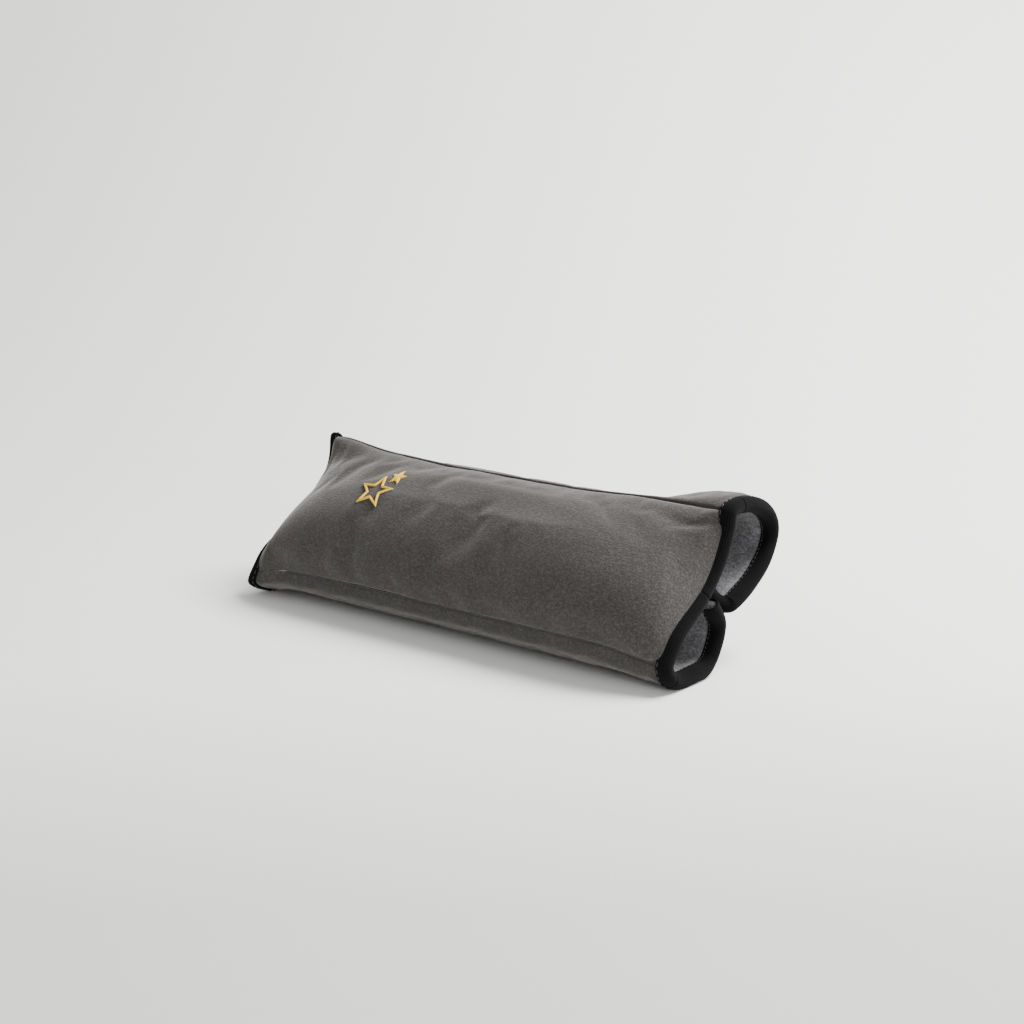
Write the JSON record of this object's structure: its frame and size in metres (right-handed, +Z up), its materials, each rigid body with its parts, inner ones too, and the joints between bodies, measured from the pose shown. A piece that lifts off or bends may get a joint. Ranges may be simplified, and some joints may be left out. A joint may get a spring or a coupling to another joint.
{
  "type": "seat belt pillow",
  "caption": "Long padded plush pillow with two padded flaps that close round a shoulder belt, lying on its back.",
  "frame": {"origin": "centre of the footprint, on the surface the pillow lies on", "axes": "+X along the length towards the open end that is seen, +Y away from the decorated face, +Z up"},
  "size_m": [0.2822, 0.11, 0.0869],
  "materials": {
    "plush": "short grey pile",
    "fleece_lining": "brushed grey fleece",
    "polyester_fill": "loose white fibre",
    "binding_tape": "black woven tape",
    "dark_thread": "black sewing thread",
    "gold_thread": "gold satin stitch",
    "hook_tape": "black nylon hooks",
    "loop_tape": "black nylon loops"
  },
  "bodies": {
    "cushion": {"front_cover": "plush", "front_filling": "polyester_fill", "front_lining": "fleece_lining", "large_star": "gold_thread", "small_star": "gold_thread", "upper_seam_thread": "dark_thread", "lower_seam_thread": "dark_thread", "left_front_binding": "binding_tape", "right_front_binding": "binding_tape", "left_front_binding_stitch": "dark_thread", "right_front_binding_stitch": "dark_thread"},
    "upper_flap": {"upper_flap_cover": "plush", "upper_flap_wadding": "polyester_fill", "upper_flap_lining": "fleece_lining", "hook_strip": "hook_tape", "left_upper_binding": "binding_tape", "right_upper_binding": "binding_tape", "left_upper_binding_stitch": "dark_thread", "right_upper_binding_stitch": "dark_thread"},
    "lower_flap": {"lower_flap_cover": "plush", "lower_flap_wadding": "polyester_fill", "lower_flap_lining": "fleece_lining", "loop_strip": "loop_tape", "left_lower_binding": "binding_tape", "right_lower_binding": "binding_tape", "left_lower_binding_stitch": "dark_thread", "right_lower_binding_stitch": "dark_thread"}
  },
  "joints": [
    {"name": "upper_flap_hinge", "type": "hinge", "parent": "cushion", "child": "upper_flap", "pos_m": [0, 0.00662, 0.0825], "axis": [1, 0, 0], "range_deg": [0, 110]},
    {"name": "lower_flap_hinge", "type": "hinge", "parent": "cushion", "child": "lower_flap", "pos_m": [0, -0.04758, 0.0155], "axis": [-1, 0, 0], "range_deg": [0, 110]}
  ]
}
